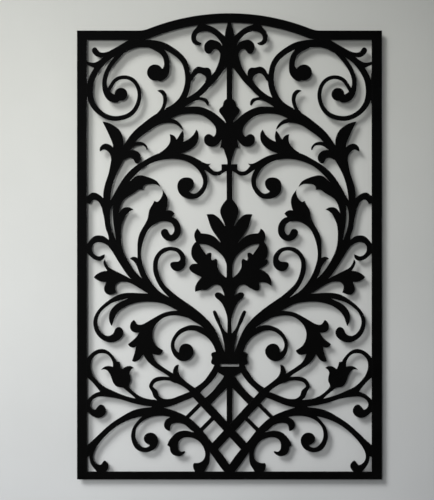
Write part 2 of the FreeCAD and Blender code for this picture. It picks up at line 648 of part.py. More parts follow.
def lattice_loop():
    return plate([(129, 205.2), (139, 205.4), (147, 203.8), (154, 199.8), (159, 193), (161, 187),
                  (159, 181), (155.4, 175), (153, 168), (146.4, 160.2)], [(144, 154)], [(134, 158)],
                 [(139, 165)], [(142.4, 170), (144, 176), (148, 180.6), (153, 185)], [(152, 189.4),
                                                                                      (147, 194.4),
                                                                                      (139, 197),
                                                                                      (129, 198),
                                                                                      (119, 197)],
                 [(108, 192)], [(112, 204)], [(120, 204.4)])


# Base arches: from each stile over to the middle of the bottom rail, with the scrolls that hang from them
def base_arch():
    upper = [(275, 77), (257, 94), (239, 110), (215, 126), (191, 138.4), (167, 143.4), (150, 144.6),
             (131, 143), (107, 135.6), (87.8, 127), (58.6, 102.6), (34.4, 73), (23, 60), (0, 29)]
    lower = [(39.4, 55), (70, 94.4), (97, 117), (117.6, 124.4), (145, 128.5), (174.4, 126.4),
             (203, 118), (227, 105), (247, 88), (264, 68), (272, 52), (273, 45), (271.4, 38), (268, 33),
             (259, 28.6)]
    eye = [(256, 31), (253, 35.4), (250, 37.4), (246, 35), (242.4, 30), (242, 25), (244, 20), (252, 11)]
    return plate(upper, [(0, 8)], [(4.5, 8)], lower, eye, [(262, 11)], [(270, 21), (275, 27.4),
                                                                        (278, 33), (280, 40),
                                                                        (280.4, 46.6)], [(289, 43)],
                 [(289, 65)])


def arch_scroll():
    outer = [(181, 120), (187, 113), (193, 104), (196, 95), (197, 87), (195.4, 77), (192, 68),
             (187, 61), (181, 57), (173, 54.8), (165, 54.6), (157, 57), (149, 62), (144, 70),
             (142.6, 77), (143.6, 83), (147, 88.4), (153, 92.4), (161, 93), (167, 90.4), (170.6, 86),
             (171.4, 81), (169.4, 75.4), (165, 71.4), (159, 68.6)]
    inner = [(162, 65.4), (167, 63.4), (173, 64), (179, 68), (185, 76), (188, 85), (188, 93),
             (186, 102), (181, 110), (175, 116), (167, 121), (157, 124.8), (145, 127), (133, 127.2),
             (117.6, 124.4)]
    return plate(outer, inner, [(120, 134)], [(172, 134)], [(174.4, 126.4)])


def arch_curl():
    return plate([(123, 122), (128, 118), (130.6, 112), (131, 107), (128, 101), (123, 97.6),
                  (119.6, 97)], [(118.4, 104), (116.6, 109), (112, 112), (105, 113), (97, 112),
                                 (89, 109), (81, 102), (70, 94.6)], [(68, 102)], [(100, 128)],
                 [(117.6, 124.4)])


def base_curl():
    crest = [(77, 95), (85, 97), (93, 97), (101, 95.4), (109, 91), (116, 84), (121, 77), (124.6, 68.4)]
    hook = [(119, 59), (117, 54), (113, 49.4), (107, 47), (101, 46.4), (95, 48.4), (88.4, 55)]
    inside = [(92, 56), (96, 55), (99, 56.4), (102, 60), (103, 66), (102.4, 73), (99, 79), (93, 83),
              (85, 84.4), (77, 83.6), (69, 81), (61, 76), (55, 69), (50, 59), (48.6, 51), (50, 43),
              (54, 37), (60, 33.4), (70, 32.6)]
    return plate(crest, [(119.6, 64.6)], hook, inside, [(72, 31), (73, 26), (71.4, 20), (66, 10)],
                 [(52, 10)], [(47, 21), (42, 29), (39.6, 39), (39.4, 55)], [(34, 64)], [(62, 98)],
                 [(70, 94.4)])


# Lattice under the collar
def bar(start, end, width):
    """A straight flat bar between two points of the sheet."""
    first = place(*start)
    last = place(*end)
    along = (last - first).normalize()
    across = vec(along.z, 0, -along.x) * (width / 2)
    corners = [first + across, last + across, last - across, first - across]
    return Part.Face(Part.makePolygon(corners + corners[:1]))


def lattice_bar():
    shoulder = (74, 177.4)
    foot = (-38, 56.2)
    return bar(shoulder, foot, lattice_bar_width)


def slat(start, reach):
    """A short bar that slants down and outward by the same distance."""
    return bar(start, (start[0] + reach, start[1] - reach), slat_width)


def strap():
    return plate([(35, 219), (41, 210), (49, 199), (59, 190), (69, 183.6)], [(70, 176)], [(59, 171.8)],
                 [(51, 181), (41, 190), (33, 199), (27, 207), (23, 213.6)], [(19, 225.4)], [(19, 233)],
                 [(30, 233)], [(30.6, 228.6)])


def tie():
    return plate([(17, 197), (25, 187), (32, 178), (41, 169), (48.6, 162.6)], [(46, 150)],
                 [(36.4, 151)], [(5.4, 183)], [(2, 190)], [(8, 210)], [(11, 206.6)])


# Hidden hangers behind the stiles: a channel with a keyhole that drops over a wall screw
def along_y(radius, x, y_start, y_end, z):
    return Part.makeCylinder(radius, y_end - y_start, vec(x, y_start, z), vec(0, 1, 0))


def hanger():
    left = -half_width
    bottom = screw_height - lift_travel / 2 - hanger_length / 2
    channel = Part.makeBox(stile_width, wall_gap, hanger_length, vec(left, frame_back_y, bottom))
    inside_width = stile_width - 2 * hanger_wall
    channel = channel.cut(Part.makeBox(inside_width, wall_gap - hanger_wall, hanger_length,
                                       vec(left + hanger_wall, frame_back_y, bottom)))
    slot_radius = screw_neck_diameter / 2 + running_clearance
    entry_radius = screw_head_diameter / 2 + entry_clearance
    entry_height = screw_height - lift_travel
    keyhole = along_y(slot_radius, -stile_centre, -hanger_wall, 0, screw_height)
    keyhole = keyhole.fuse(Part.makeBox(2 * slot_radius, hanger_wall, lift_travel,
                                        vec(-stile_centre - slot_radius, -hanger_wall, entry_height)))
    keyhole = keyhole.fuse(along_y(entry_radius, -stile_centre, -hanger_wall, 0, entry_height))
    return channel.cut(keyhole)


def wall_screw():
    head_back = -hanger_wall - running_clearance
    head = along_y(screw_head_diameter / 2, -stile_centre, head_back - screw_head_height, head_back,
                   screw_height)
    neck = along_y(screw_neck_diameter / 2, -stile_centre, head_back, 0, screw_height)
    thread = along_y(screw_thread_diameter / 2, -stile_centre, 0, screw_depth_in_wall, screw_height)
    point = Part.makeCone(screw_thread_diameter / 2, 0, screw_thread_diameter,
                          vec(-stile_centre, screw_depth_in_wall, screw_height), vec(0, 1, 0))
    return head.multiFuse([neck, thread, point]).removeSplitter()


def bumper():
    return Part.makeCone(bumper_diameter / 2, bumper_diameter / 2 - bumper_taper, wall_gap,
                         vec(-stile_centre, frame_back_y, bumper_height), vec(0, 1, 0))


# Frame and centre pieces, each trimmed to the ones before it
frame_faces = {"left_stile": stile(), "right_stile": mirrored(stile()), "bottom_rail": bottom_rail(),
               "top_rail": top_rail()}
centre_pieces = {
    "finial_spear": finial_spear(),
    "upper_rod": joined(rod(rod_width, 824, 758), knop()),
    "rod_collar": rod_collar(),
    "crown_calyx": crown_calyx(),
    "lower_rod": joined(rod(rod_width, 622, 558), bud()),
    "palmette_stem": rod(rod_width, 503, 368),
    "bouquet_collar": bouquet_collar(),
    "stem_calyx": stem_calyx(),
    "strap_yoke": strap_yoke(),
}
fixed_faces = list(frame_faces.values())
centre_faces = {}
for name, face in centre_pieces.items():
    centre_faces[name] = trimmed(face, fixed_faces)
    fixed_faces.append(centre_faces[name])

# Pieces of the left half, the long ones first: node, then its pieces
left_pieces = [
    ("upper_vine", upper_vine()),
    ("main_vine", main_vine()),
    ("mid_vine", mid_vine()),
    ("base_arch", base_arch()),
    ("lattice_bar", lattice_bar()),
    ("low_vine", low_vine()),
    ("corner_scroll", corner_scroll()),
    ("crown_scroll", crown_scroll()),
    ("bellflower", bellflower()),
    ("snail_scroll", snail_scroll()),
    ("reed_scroll", reed_scroll()),
    ("crook_scroll", crook_scroll()),
    ("acanthus_scroll", acanthus_scroll()),
    ("tall_leaf", tall_leaf()),
    ("palmette_leaf", palmette_leaf(left_lobes)),
    ("tulips", tulip()),
    ("hoops", hoop()),
    ("corner_sprigs", corner_branch()),
    ("corner_sprigs", corner_comma()),
    ("corner_sprigs", corner_tendril()),
    ("finial_curls", finial_curl()),
    ("finial_curls", finial_comma()),
    ("vine_sprigs", bud_loop()),
    ("vine_sprigs", vine_tendril()),
    ("vine_sprigs", vine_curl()),
    ("vine_sprigs", drape()),
    ("stalk_curls", outer_curl()),
    ("stalk_curls", inner_curl()),
    ("stalk_curls", stalk_tendril()),
    ("stalk_curls", stile_hook()),
    ("vine_leaves", trident_leaf()),
    ("vine_leaves", acanthus_leaf()),
    ("vine_leaves", thorn_leaf()),
    ("stile_curls", stile_curl()),
    ("vine_leaves", trefoil()),
    ("base_scrolls", arch_scroll()),
    ("base_scrolls", arch_curl()),
    ("base_scrolls", base_curl()),
    ("lattice_straps", strap()),
    ("lattice_straps", tie()),
    ("lattice_straps", lattice_loop()),
    ("lattice_slats", slat((55, 153.6), 31)),
    ("lattice_slats", slat((28, 127.2), 34)),
    ("sprout_blades", sprout_blade()),
]
left_faces = []
for name, face in left_pieces:
    cutters = fixed_faces + [other for owner, other in left_faces]
    if name == "lattice_bar":
        cutters = cutters + [mirrored(other) for owner, other in left_faces]
    left_faces.append((name, trimmed(face, cutters)))

# The two long lattice bars cross on the centre line in a half lap
left_bar = dict(left_faces)["lattice_bar"]
lap = left_bar.common(mirrored(left_bar)).Faces[0]
front_lap = lap.extrude(vec(0, scroll_thickness / 2, 0))
back_lap = front_lap.translated(vec(0, scroll_thickness / 2, 0))
right_leaf = trimmed(palmette_leaf(right_lobes), fixed_faces)
rod_neighbours = fixed_faces + [other for owner, other in left_faces]
rod_neighbours += [mirrored(other) for owner, other in left_faces]
lattice_rod = trimmed(rod(rod_width, 190, 100), rod_neighbours)

grouped = {"corner_sprigs", "finial_curls", "vine_sprigs", "stalk_curls", "vine_leaves", "stile_curls",
           "tulips", "hoops", "base_scrolls", "lattice_straps", "lattice_slats", "sprout_blades"}
nodes = {}
for name, face in frame_faces.items():
    nodes[name] = [face.extrude(vec(0, frame_depth, 0))]
for name, face in list(centre_faces.items()) + [("lattice_rod", lattice_rod)]:
    nodes[name] = [face.extrude(vec(0, scroll_thickness, 0))]
for name, face in left_faces:
    piece = face.extrude(vec(0, scroll_thickness, 0))
    pair = [piece, mirrored(piece)]
    if name == "lattice_bar":
        pair = [pair[0].cut(back_lap), pair[1].cut(front_lap)]
    if name in grouped:
        nodes.setdefault(name, []).extend(pair)
    else:
        nodes["left_" + name] = [pair[0]]
        nodes["right_" + name] = [pair[1]]
nodes["right_palmette_leaf"] = [mirrored(right_leaf.extrude(vec(0, scroll_thickness, 0)))]
for name, piece in (("hangers", hanger()), ("wall_screws", wall_screw()), ("bumpers", bumper())):
    nodes[name] = [piece, mirrored(piece)]

# The origin is on the wall, midway between the two screws
os.makedirs("parts", exist_ok=True)
for name, pieces in nodes.items():
    shape = pieces[0] if len(pieces) == 1 else Part.Compound(pieces)
    shape = shape.translated(vec(0, 0, -screw_height))
    shape.exportStep("parts/" + name + ".step")
print(len(nodes), "nodes written")
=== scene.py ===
import bpy
import bmesh
import math
from mathutils import Matrix, Vector
from mathutils.bvhtree import BVHTree


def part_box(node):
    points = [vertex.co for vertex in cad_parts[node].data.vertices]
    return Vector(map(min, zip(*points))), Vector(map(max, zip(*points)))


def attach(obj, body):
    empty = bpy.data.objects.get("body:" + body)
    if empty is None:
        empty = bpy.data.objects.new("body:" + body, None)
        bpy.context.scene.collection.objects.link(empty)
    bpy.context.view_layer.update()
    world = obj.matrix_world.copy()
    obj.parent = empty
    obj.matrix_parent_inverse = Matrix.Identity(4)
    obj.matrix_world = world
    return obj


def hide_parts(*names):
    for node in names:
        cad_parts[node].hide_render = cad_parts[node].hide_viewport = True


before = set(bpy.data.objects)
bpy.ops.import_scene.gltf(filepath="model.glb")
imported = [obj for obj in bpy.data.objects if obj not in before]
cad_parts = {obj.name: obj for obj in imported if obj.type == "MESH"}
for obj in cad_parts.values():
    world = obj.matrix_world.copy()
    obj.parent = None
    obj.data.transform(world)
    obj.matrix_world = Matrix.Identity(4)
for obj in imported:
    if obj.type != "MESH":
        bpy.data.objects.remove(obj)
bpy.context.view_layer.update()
scene = bpy.context.scene
print("frame loaded:", len(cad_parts), "nodes")


def nothingSelected():
    bpy.ops.object.select_all(action="DESELECT")


def makeActive(piece):
    nothingSelected()
    piece.select_set(True)
    bpy.context.view_layer.objects.active = piece


def openMesh():
    bpy.ops.object.mode_set(mode="EDIT")
    bpy.ops.mesh.select_all(action="SELECT")


def closeMesh():
    bpy.ops.object.mode_set(mode="OBJECT")


# materials

grainDetail = {"blotch": 5, "peel": 2}
evenGrain = (1, 1, 1)
noiseSpan = (0.3, 0.7)  # where most of the noise lies


def newMaterial(name):
    material = bpy.data.materials.new(name)
    material.use_nodes = True
    return material, material.node_tree.nodes, material.node_tree.links


def grain(nodes, links, coords, size, detail, squeeze):
    noise = nodes.new("ShaderNodeTexNoise")
    noise.inputs["Scale"].default_value = 1 / size  # size of one blotch in metres
    noise.inputs["Detail"].default_value = detail
    drawn = nodes.new("ShaderNodeMapping")
    drawn.inputs["Scale"].default_value = squeeze  # under 1 draws the blotches out that way
    links.new(coords.outputs["Object"], drawn.inputs["Vector"])
    links.new(drawn.outputs["Vector"], noise.inputs["Vector"])
    return noise


def colourRamp(nodes, links, noise, low, high, span):
    ramp = nodes.new("ShaderNodeValToRGB")
    ramp.color_ramp.elements[0].position = span[0]
    ramp.color_ramp.elements[1].position = span[1]
    ramp.color_ramp.elements[0].color = (*low, 1)
    ramp.color_ramp.elements[1].color = (*high, 1)
    links.new(noise.outputs["Fac"], ramp.inputs["Fac"])
    return ramp


def roughnessRange(nodes, links, noise, low, high):
    spread = nodes.new("ShaderNodeMapRange")
    spread.inputs["From Min"].default_value = noiseSpan[0]
    spread.inputs["From Max"].default_value = noiseSpan[1]
    spread.inputs["To Min"].default_value = low
    spread.inputs["To Max"].default_value = high
    links.new(noise.outputs["Fac"], spread.inputs["Value"])
    return spread


def surfaceBump(nodes, links, noise, depth, strength):
    bump = nodes.new("ShaderNodeBump")
    bump.inputs["Distance"].default_value = depth
    bump.inputs["Strength"].default_value = strength
    links.new(noise.outputs["Fac"], bump.inputs["Height"])
    return bump


def speckledFinish(name, look):
    material, nodes, links = newMaterial(name)
    shader = nodes["Principled BSDF"]
    coords = nodes.new("ShaderNodeTexCoord")
    blotch = grain(nodes, links, coords, look["blotchSize"], grainDetail["blotch"],
                   evenGrain)
    peel = grain(nodes, links, coords, look["peelSize"], grainDetail["peel"],
                 look.get("squeeze", evenGrain))
    tint = colourRamp(nodes, links, blotch, look["dark"], look["light"], look["span"])
    rough = roughnessRange(nodes, links, blotch, *look["roughness"])
    bump = surfaceBump(nodes, links, peel, look["peelDepth"], look["peelStrength"])
    links.new(tint.outputs["Color"], shader.inputs["Base Color"])
    links.new(rough.outputs["Result"], shader.inputs["Roughness"])
    links.new(bump.outputs["Normal"], shader.inputs["Normal"])
    shader.inputs["Metallic"].default_value = look["metallic"]
    shader.inputs["Specular IOR Level"].default_value = look["specular"]
    return material


blackCoatLook = {
    "blotchSize": 0.030, "peelSize": 0.0011,
    "dark": (0.0006, 0.0006, 0.0006), "light": (0.0016, 0.0016, 0.0016), "span": (0.35, 0.68),
    "roughness": (0.56, 0.70), "peelDepth": 0.00014, "peelStrength": 0.4,
    "metallic": 0.0, "specular": 0.03,
}
cutSideLook = {
    "blotchSize": 0.012, "peelSize": 0.0009, "squeeze": (1, 0.06, 1),  # lines across the thickness
    "dark": (0.0005, 0.0005, 0.0005), "light": (0.0013, 0.0013, 0.0013), "span": (0.35, 0.68),
    "roughness": (0.84, 0.94), "peelDepth": 0.00016, "peelStrength": 0.5,
    "metallic": 0.0, "specular": 0.008,
}
rubbedEdgeLook = {
    "blotchSize": 0.012, "peelSize": 0.0011,
    "dark": (0.0008, 0.0008, 0.0008), "light": (0.004, 0.0039, 0.0038), "span": (0.48, 0.74),
    "roughness": (0.44, 0.58), "peelDepth": 0.00010, "peelStrength": 0.2,
    "metallic": 0.0, "specular": 0.16,
}
zincLook = {
    "blotchSize": 0.0035, "peelSize": 0.0006,
    "dark": (0.42, 0.43, 0.45), "light": (0.68, 0.69, 0.70), "span": (0.3, 0.7),
    "roughness": (0.24, 0.42), "peelDepth": 0.00004, "peelStrength": 0.25,
    "metallic": 1.0, "specular": 0.5,
}
rubberLook = {
    "blotchSize": 0.006, "peelSize": 0.0005,
    "dark": (0.010, 0.010, 0.010), "light": (0.026, 0.025, 0.024), "span": (0.35, 0.7),
    "roughness": (0.72, 0.90), "peelDepth": 0.00008, "peelStrength": 0.5,
    "metallic": 0.0, "specular": 0.3,
}
blackCoat = speckledFinish("blackCoat", blackCoatLook)
cutSide = speckledFinish("cutSide", cutSideLook)
rubbedEdge = speckledFinish("rubbedEdge", rubbedEdgeLook)
zincPlate = speckledFinish("zincPlate", zincLook)
bumperRubber = speckledFinish("bumperRubber", rubberLook)
print("finishes made")


# cut plate and flat bar: free edges are eased, welded joints stay ground flush

plateEdge = {"round": 0.0003, "steps": 2, "smoothTo": 35, "jointReach": 0.00012, "thin": 0.001,
             "sideTilt": 0.3, "flatTilt": 0.9, "opposed": -0.5}  # metres, degrees, normals
seam = {"merge": 0.000002, "crumb": 0.00022, "flat": 0.6, "facing": 0.99}  # metres, degrees
rimEnd = {"straight": 1.5, "corner": 40, "length": 0.0006, "share": 0.5}  # share of an edge
halfLapped = ("left_lattice_bar", "right_lattice_bar")
hangerEdge = {"round": 0.0004, "steps": 2, "sharpFrom": 40, "smoothTo": 35}
bumperEdge = {"round": 0.0012, "steps": 3, "sharpFrom": 40, "smoothTo": 50}


def wholeCover():
    corners, faces = [], []
    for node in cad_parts.values():
        first = len(corners)
        corners.extend(vertex.co.copy() for vertex in node.data.vertices)
        faces.extend([first + index for index in face.vertices] for face in node.data.polygons)
    return BVHTree.FromPolygons(corners, faces)


def markFreeRim(mesh, neighbours):
    joints = []
    weights = mesh.attributes.new("bevel_weight_edge", "FLOAT", "EDGE")
    itself = BVHTree.FromPolygons([corner.co for corner in mesh.vertices],
                                  [face.vertices for face in mesh.polygons])
    beside = {}
    for face in mesh.polygons:
        for key in face.edge_keys:
            beside.setdefault(key, []).append(face)
    for edge in mesh.edges:
        flat = [face for face in beside[edge.key] if abs(face.normal.y) > plateEdge["flatTilt"]]
        side = [face for face in beside[edge.key] if abs(face.normal.y) < plateEdge["sideTilt"]]
        if len(flat) != 1 or len(side) != 1:
            continue
        middle = (mesh.vertices[edge.vertices[0]].co + mesh.vertices[edge.vertices[1]].co) / 2
        middle.y = side[0].center.y
        near = neighbours.find_nearest_range(middle, plateEdge["jointReach"])
        welded = any(normal.dot(side[0].normal) < plateEdge["opposed"]
                     for place, normal, index, distance in near)
        inside = middle - side[0].normal * seam["merge"]
        thin = itself.ray_cast(inside, -side[0].normal, plateEdge["thin"])[0]
        weights.data[edge.index].value = 0 if welded or thin else 1
        if welded and flat[0].normal.y > 0:  # the joint's line on the back
            ends = [mesh.vertices[index].co.copy() for index in edge.vertices]
            joints.append(ends + list(edge.vertices))
    return joints


def onRim(edge):
    tilts = sorted(abs(face.normal.y) for face in edge.link_faces)
    return len(tilts) == 2 and tilts[0] < plateEdge["sideTilt"] and tilts[1] > plateEdge["flatTilt"]


def endRimSquarely(mesh):
    shape = bmesh.new()
    shape.from_mesh(mesh)
    weight = shape.edges.layers.float["bevel_weight_edge"]
    for corner in list(shape.verts):
        rim = [edge for edge in corner.link_edges if onRim(edge)]
        free = [edge for edge in rim if edge[weight] > 0]
        if len(rim) != 2 or len(free) != 1:
            continue
        run = free[0]
        welded = rim[1] if rim[0] is run else rim[0]
        arriving = corner.co - welded.other_vert(corner).co
        turn = arriving.angle(run.other_vert(corner).co - corner.co)
        if math.radians(rimEnd["straight"]) < turn < math.radians(rimEnd["corner"]):
            share = min(rimEnd["share"], rimEnd["length"] / run.calc_length())
            stop = bmesh.utils.edge_split(run, corner, share)[1]
            for edge in stop.link_edges:
                edge[weight] = 0 if corner in edge.verts else 1
    shape.to_mesh(mesh)
    shape.free()


def mergedCopy(nodeName, pieceName, finishes):
    piece = bpy.data.objects.new(pieceName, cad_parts[nodeName].data.copy())
    scene.collection.objects.link(piece)
    piece.data.materials.clear()
    for finish in finishes:
        piece.data.materials.append(finish)
    makeActive(piece)
    openMesh()
    bpy.ops.mesh.remove_doubles(threshold=seam["merge"])
    closeMesh()
    return piece


def frontFaceOnly(piece):
    scene.tool_settings.mesh_select_mode = (False, False, True)
    for face in piece.data.polygons:
        face.select = face.normal.y > -seam["facing"]
    bpy.ops.object.mode_set(mode="EDIT")
    bpy.ops.mesh.delete(type="FACE")
    closeMesh()


def wholeFaces():
    openMesh()
    bpy.ops.mesh.dissolve_limited(angle_limit=math.radians(seam["flat"]))
    closeMesh()


def thickened(depth):
    openMesh()
    bpy.ops.mesh.remove_doubles(threshold=seam["crumb"])
    bpy.ops.mesh.select_all(action="SELECT")
    bpy.ops.mesh.extrude_region_move(TRANSFORM_OT_translate={"value": (0, depth, 0)})
    bpy.ops.mesh.select_all(action="SELECT")
    bpy.ops.mesh.normals_make_consistent(inside=False)
    closeMesh()


def finishSides(piece):
    for face in piece.data.polygons:
        face.material_index = 1 if abs(face.normal.y) < plateEdge["sideTilt"] else 0


def cutPlate(nodeName):
    piece = mergedCopy(nodeName, nodeName + "_coated", [blackCoat, cutSide, rubbedEdge])
    low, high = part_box(nodeName)
    if nodeName in halfLapped:
        wholeFaces()
    else:  # the outline is drawn out to the plate's thickness
        frontFaceOnly(piece)
        wholeFaces()
        thickened(high[1] - low[1])
    finishSides(piece)
    return piece


def easeEdges(piece, edge):
    bevel = piece.modifiers.new("easedEdge", "BEVEL")
    bevel.width = edge["round"]
    bevel.segments = edge["steps"]
    bevel.use_clamp_overlap = False
    bevel.material = len(piece.data.materials) - 1
    if "sharpFrom" in edge:
        bevel.limit_method = "ANGLE"
        bevel.angle_limit = math.radians(edge["sharpFrom"])
    else:
        bevel.limit_method = "WEIGHT"
    bpy.ops.object.modifier_apply(modifier=bevel.name)
    openMesh()
    bpy.ops.mesh.remove_doubles(threshold=seam["merge"])
    closeMesh()
    bpy.ops.object.shade_smooth_by_angle(angle=math.radians(edge["smoothTo"]))
    flatten = piece.modifiers.new("flatFaces", "WEIGHTED_NORMAL")  # large faces stay flat
    flatten.keep_sharp = True
    bpy.ops.object.modifier_apply(modifier=flatten.name)


def dressed(piece, body, slotName, *nodeNames):
    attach(piece, body)
    if nodeNames:
        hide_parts(*nodeNames)


neighbours = wholeCover()
joints = {}
for nodeName in sorted(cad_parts):
    if nodeName in ("wall_screws", "bumpers", "hangers"):
        continue
    plate = cutPlate(nodeName)
    joints[nodeName] = markFreeRim(plate.data, neighbours)
    endRimSquarely(plate.data)
    easeEdges(plate, plateEdge)
    dressed(plate, "cover", "black_coated_steel", nodeName)
print("plates eased and coated")


# weld beads: a short row of overlapping drops on the back of each joint

weld = {"longest": 0.014, "step": 0.0021, "width": 0.0021, "height": 0.0011, "apart": 0.0017,
        "sunk": 0.15, "rimPoints": 8, "margin": 1.15, "behind": 0.06,
        "cuts": 2, "swell": 0.12, "beat": 7, "smoothTo": 60}  # sunk is a share of the height


def jointRuns(lines):
    after = {}
    for first, second, a, b in lines:
        after.setdefault(a, []).append((b, first, second))
        after.setdefault(b, []).append((a, second, first))
    runs, used = [], set()
    for begin in sorted(after, key=lambda index: len(after[index])):
        if begin in used:
            continue
        used.add(begin)
        run, here = [after[begin][0][1]], begin
        while here is not None:
            onward = [step for step in after[here] if step[0] not in used]
            here = onward[0][0] if onward else None
            if onward:
                used.add(here)
                run.append(onward[0][2])
        runs.append(run)
    return runs


def dropPlaces(run):
    steps = [(b - a).length for a, b in zip(run, run[1:])]
    total = sum(steps)
    bead = min(total, weld["longest"])
    count = int(bead / weld["step"])
    for index in range(count + 1):
        reach = (total - count * weld["step"]) / 2 + index * weld["step"]
        for start, end, step in zip(run, run[1:], steps):
            if reach <= step and step > 0:
                yield start.lerp(end, reach / step)
                break
            reach -= step


def onMetal(place):
    for turn in range(weld["rimPoints"]):  # the drop's rim all round has plate in front of it
        angle = 2 * math.pi * turn / weld["rimPoints"]
        rim = place + weld["margin"] * weld["width"] * Vector((math.cos(angle), 0, math.sin(angle)))
        rim.y = weld["behind"]
        if neighbours.ray_cast(rim, Vector((0, -1, 0)))[0] is None:
            return False
    return True


def weldDrop():
    nothingSelected()
    bpy.ops.mesh.primitive_ico_sphere_add(subdivisions=weld["cuts"], radius=1)
    openMesh()
    bpy.ops.mesh.bisect(plane_co=(0, -weld["sunk"], 0), plane_no=(0, 1, 0),
                        use_fill=True, clear_inner=True)
    closeMesh()
    return bpy.context.object


def weldBeads(lines):
    drop = weldDrop()
    beads, placed = bmesh.new(), []
    for nodeLines in lines.values():
        for run in jointRuns(nodeLines):
            for place in dropPlaces(run):
                crowded = any((place - other).length < weld["apart"] for other in placed)
                if crowded or not onMetal(place):
                    continue
                placed.append(place)
                swell = 1 + weld["swell"] * math.sin(weld["beat"] * len(placed))
                width, height = weld["width"] * swell, weld["height"] * swell
                one = drop.data.copy()
                shape = Matrix.Diagonal((width, height, width, 1))
                one.transform(Matrix.Translation(place) @ shape)
                beads.from_mesh(one)
                bpy.data.meshes.remove(one)
    bpy.data.objects.remove(drop)
    piece = bpy.data.objects.new("weldBeads", bpy.data.meshes.new("weldBeads"))
    beads.to_mesh(piece.data)
    beads.free()
    scene.collection.objects.link(piece)
    piece.data.materials.append(blackCoat)
    makeActive(piece)
    bpy.ops.object.shade_smooth_by_angle(angle=math.radians(weld["smoothTo"]))
    print("weld drops:", len(placed), "faces on each:", len(piece.data.polygons) // len(placed))
    return piece


dressed(weldBeads(joints), "cover", "black_coated_steel")

hangers = mergedCopy("hangers", "hangers_coated", [blackCoat, cutSide, rubbedEdge])
wholeFaces()
finishSides(hangers)
easeEdges(hangers, hangerEdge)
dressed(hangers, "cover", "black_coated_steel", "hangers")
print("hangers coated")

bumpers = mergedCopy("bumpers", "bumpers_moulded", [bumperRubber])
wholeFaces()
easeEdges(bumpers, bumperEdge)
dressed(bumpers, "cover", "black_rubber", "bumpers")
print("bumpers moulded")


# wall screws: pan head with a cross recess, plain neck, threaded shank and point

screw = {"spacing": 0.590, "sides": 40, "smoothTo": 35, "overlap": 0.0002,
         "headRadius": 0.0045, "headFront": -0.0053, "headBack": -0.0023,
         "headRound": 0.0011, "headSteps": 4,
         "recessReach": 0.0050, "recessWidth": 0.0011, "recessDepth": 0.0016,
         "neckRadius": 0.0018, "coreRadius": 0.00155, "shankEnd": 0.040,
         "pointEnd": 0.0444, "tipRadius": 0.0001,
         "threadRadius": 0.00223, "tooth": 0.0006, "toothSides": 3, "pitch": 0.0021,
         "threadTurns": 18, "turnSteps": 24}


def turned(radiusA, radiusB, start, stop):
    nothingSelected()
    bpy.ops.mesh.primitive_cone_add(vertices=screw["sides"], radius1=radiusA, radius2=radiusB,
                                    depth=stop - start, location=(0, (start + stop) / 2, 0),
                                    rotation=(math.radians(-90), 0, 0))
    bpy.ops.object.transform_apply(location=True, rotation=True, scale=True)
    return bpy.context.object


def recessArm(turn):
    nothingSelected()
    extent = (screw["recessReach"], 2 * screw["recessDepth"], screw["recessWidth"])
    bpy.ops.mesh.primitive_cube_add(size=1, location=(0, screw["headFront"], 0),
                                    rotation=(0, turn, 0), scale=extent)
    bpy.ops.object.transform_apply(location=True, rotation=True, scale=True)
    return bpy.context.object


def screwHead():
    head = turned(screw["headRadius"], screw["headRadius"], screw["headFront"], screw["headBack"])
    bevel = head.modifiers.new("domed", "BEVEL")
    bevel.width = screw["headRound"]
    bevel.segments = screw["headSteps"]
    bevel.limit_method = "ANGLE"
    bpy.ops.object.modifier_apply(modifier=bevel.name)
    for turn in (0, math.radians(90)):
        arm = recessArm(turn)
        makeActive(head)
        cut = head.modifiers.new("recess", "BOOLEAN")
        cut.operation = "DIFFERENCE"
        cut.solver = "EXACT"
        cut.object = arm
        bpy.ops.object.modifier_apply(modifier=cut.name)
        bpy.data.objects.remove(arm)
    return head


def screwThread():
    nothingSelected()
    bpy.ops.mesh.primitive_circle_add(vertices=screw["toothSides"], radius=screw["tooth"])
    thread = bpy.context.object
    openMesh()
    bpy.ops.transform.rotate(value=math.radians(90), orient_axis="Z", center_override=(0, 0, 0))
    closeMesh()
    outer = max(vertex.co.x for vertex in thread.data.vertices)
    openMesh()
    bpy.ops.transform.translate(value=(screw["threadRadius"] - outer, screw["pitch"], 0))
    closeMesh()
    wind = thread.modifiers.new("wind", "SCREW")
    wind.axis = "Y"
    wind.screw_offset = screw["pitch"]
    wind.iterations = screw["threadTurns"]
    wind.steps = screw["turnSteps"]
    wind.render_steps = screw["turnSteps"]
    bpy.ops.object.modifier_apply(modifier=wind.name)
    openMesh()
    bpy.ops.mesh.remove_doubles(threshold=seam["merge"])
    bpy.ops.mesh.fill_holes(sides=screw["toothSides"])  # both ends
    bpy.ops.mesh.select_all(action="SELECT")
    bpy.ops.mesh.normals_make_consistent(inside=False)
    closeMesh()
    return thread


def makeScrews():
    lap = screw["overlap"]
    neck = turned(screw["neckRadius"], screw["neckRadius"], screw["headBack"] - lap, lap)
    core = turned(screw["coreRadius"], screw["coreRadius"], 0, screw["shankEnd"])
    point = turned(screw["coreRadius"], screw["tipRadius"],
                   screw["shankEnd"] - lap, screw["pointEnd"])
    parts = [screwHead(), neck, core, point, screwThread()]
    nothingSelected()
    for part in parts:
        part.select_set(True)
    bpy.context.view_layer.objects.active = parts[0]
    bpy.ops.object.join()
    right = parts[0]
    left = bpy.data.objects.new("leftScrew", right.data.copy())
    scene.collection.objects.link(left)
    right.data.transform(Matrix.Translation((screw["spacing"] / 2, 0, 0)))
    left.data.transform(Matrix.Translation((-screw["spacing"] / 2, 0, 0)))
    makeActive(right)
    left.select_set(True)
    bpy.ops.object.join()
    right.name = "wallScrews"
    right.data.materials.clear()
    right.data.materials.append(zincPlate)
    bpy.ops.object.shade_smooth_by_angle(angle=math.radians(screw["smoothTo"]))
    return right


dressed(makeScrews(), "wall_fixings", "zinc_steel", "wall_screws")
print("screws turned")


# camera at the photograph's straight-on view

